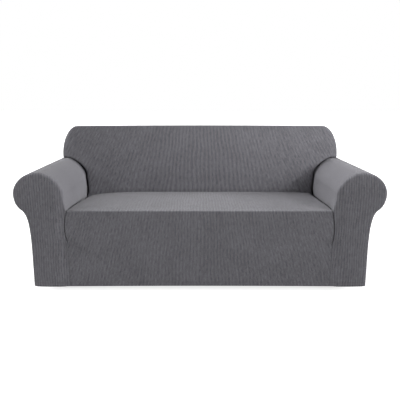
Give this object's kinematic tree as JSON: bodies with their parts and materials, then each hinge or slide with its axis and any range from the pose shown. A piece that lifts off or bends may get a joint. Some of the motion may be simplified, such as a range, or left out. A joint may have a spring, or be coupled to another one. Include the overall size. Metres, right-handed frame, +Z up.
{
  "type": "sofa slipcover",
  "caption": "Stretch knit slipcover for a three-seat sofa with rolled arms, shaped as it fits over the seat, arms and backrest, hollow and open below.",
  "frame": {"origin": "under the cloth on top of the backrest, in the middle, where the sofa holds the cover up", "axes": "+X along the sofa, to the right of someone who faces its front; +Y from the front to the back; +Z up"},
  "size_m": [2.022, 0.8823, 0.8545],
  "materials": {
    "knit": "grey stretch jacquard knit with a small raised check, matt"
  },
  "bodies": {
    "root": {"seat_panel": "knit", "inside_back": "knit", "outside_back": "knit", "arm_left": "knit", "arm_right": "knit", "arm_front_left": "knit", "arm_front_right": "knit"}
  },
  "joints": []
}
